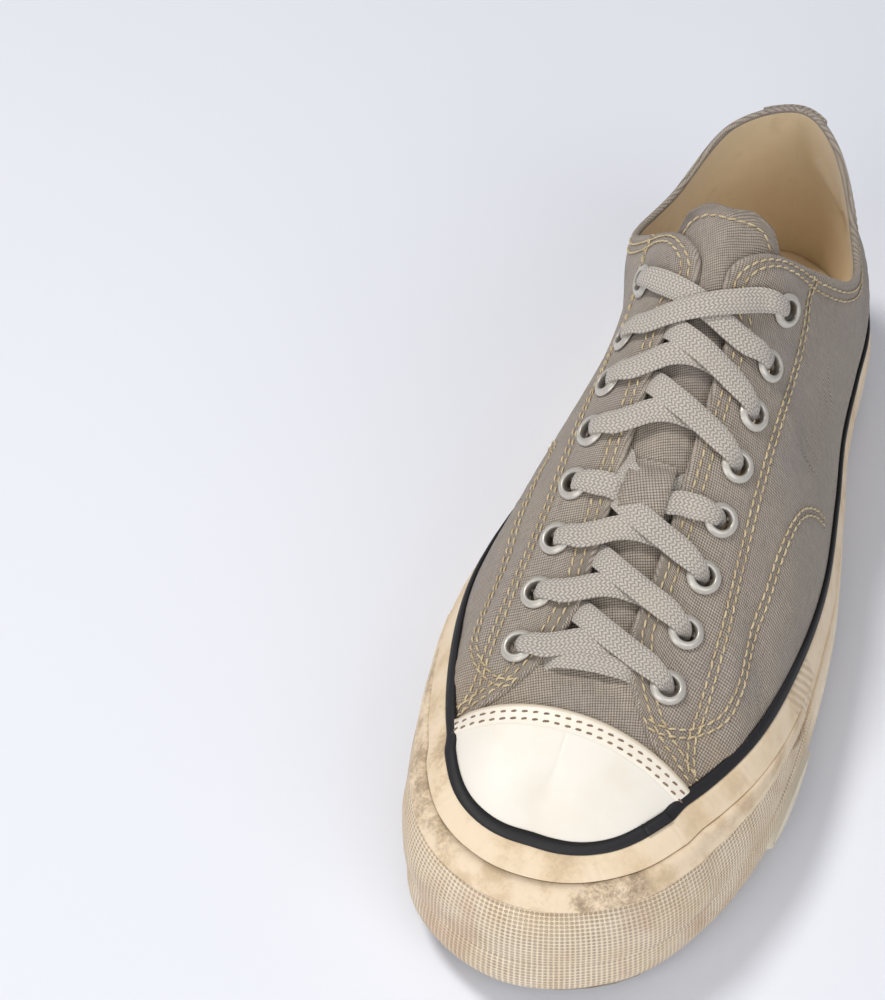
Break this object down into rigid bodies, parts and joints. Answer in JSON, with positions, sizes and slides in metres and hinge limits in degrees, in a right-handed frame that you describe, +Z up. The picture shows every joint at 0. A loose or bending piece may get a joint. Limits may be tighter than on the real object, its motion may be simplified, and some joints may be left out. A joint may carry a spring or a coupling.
{
  "type": "canvas sneaker",
  "caption": "Low canvas lace-up sneaker for the left foot, with a cream rubber toe cap, a beige rubber sole with a black line above it, and flat laces.",
  "frame": {"origin": "on the floor, under the middle of the shoe's outline in plan", "axes": "+Z up, -Y towards the toe and +Y towards the heel, +X towards the outer side of the left foot"},
  "size_m": [0.11, 0.2996, 0.121],
  "materials": {
    "canvas": "plain-weave canvas, matte",
    "lace": "flat cotton braid, matte",
    "eyelet": "off-white enamel, satin",
    "cap_rubber": "smooth cream rubber, satin",
    "sole_rubber": "beige moulded rubber, matte",
    "trim_rubber": "black rubber strip, satin",
    "tread_rubber": "dark tread rubber, matte",
    "insole_cloth": "cream cotton over foam"
  },
  "bodies": {
    "root": {"eyelet_lateral_1": "eyelet", "eyelet_lateral_2": "eyelet", "eyelet_lateral_3": "eyelet", "eyelet_lateral_4": "eyelet", "eyelet_lateral_5": "eyelet", "eyelet_lateral_6": "eyelet", "eyelet_lateral_7": "eyelet", "eyelet_lateral_8": "eyelet", "eyelet_medial_1": "eyelet", "eyelet_medial_2": "eyelet", "eyelet_medial_3": "eyelet", "eyelet_medial_4": "eyelet", "eyelet_medial_5": "eyelet", "eyelet_medial_6": "eyelet", "eyelet_medial_7": "eyelet", "eyelet_medial_8": "eyelet", "foxing_band": "sole_rubber", "foxing_trim": "trim_rubber", "heel_backstay": "canvas", "insole": "insole_cloth", "lace_bar": "lace", "lace_cross_1": "lace", "lace_cross_2": "lace", "lace_cross_3": "lace", "lace_cross_5": "lace", "lace_cross_6": "lace", "lace_keeper": "canvas", "lace_keeper_pair": "lace", "lace_top_cross": "lace", "midsole": "sole_rubber", "outsole": "tread_rubber", "side_patch": "sole_rubber", "toe_bumper": "sole_rubber", "toe_cap": "cap_rubber", "tongue": "canvas", "upper": "canvas", "vent_medial_1": "eyelet", "vent_medial_2": "eyelet"}
  },
  "joints": []
}
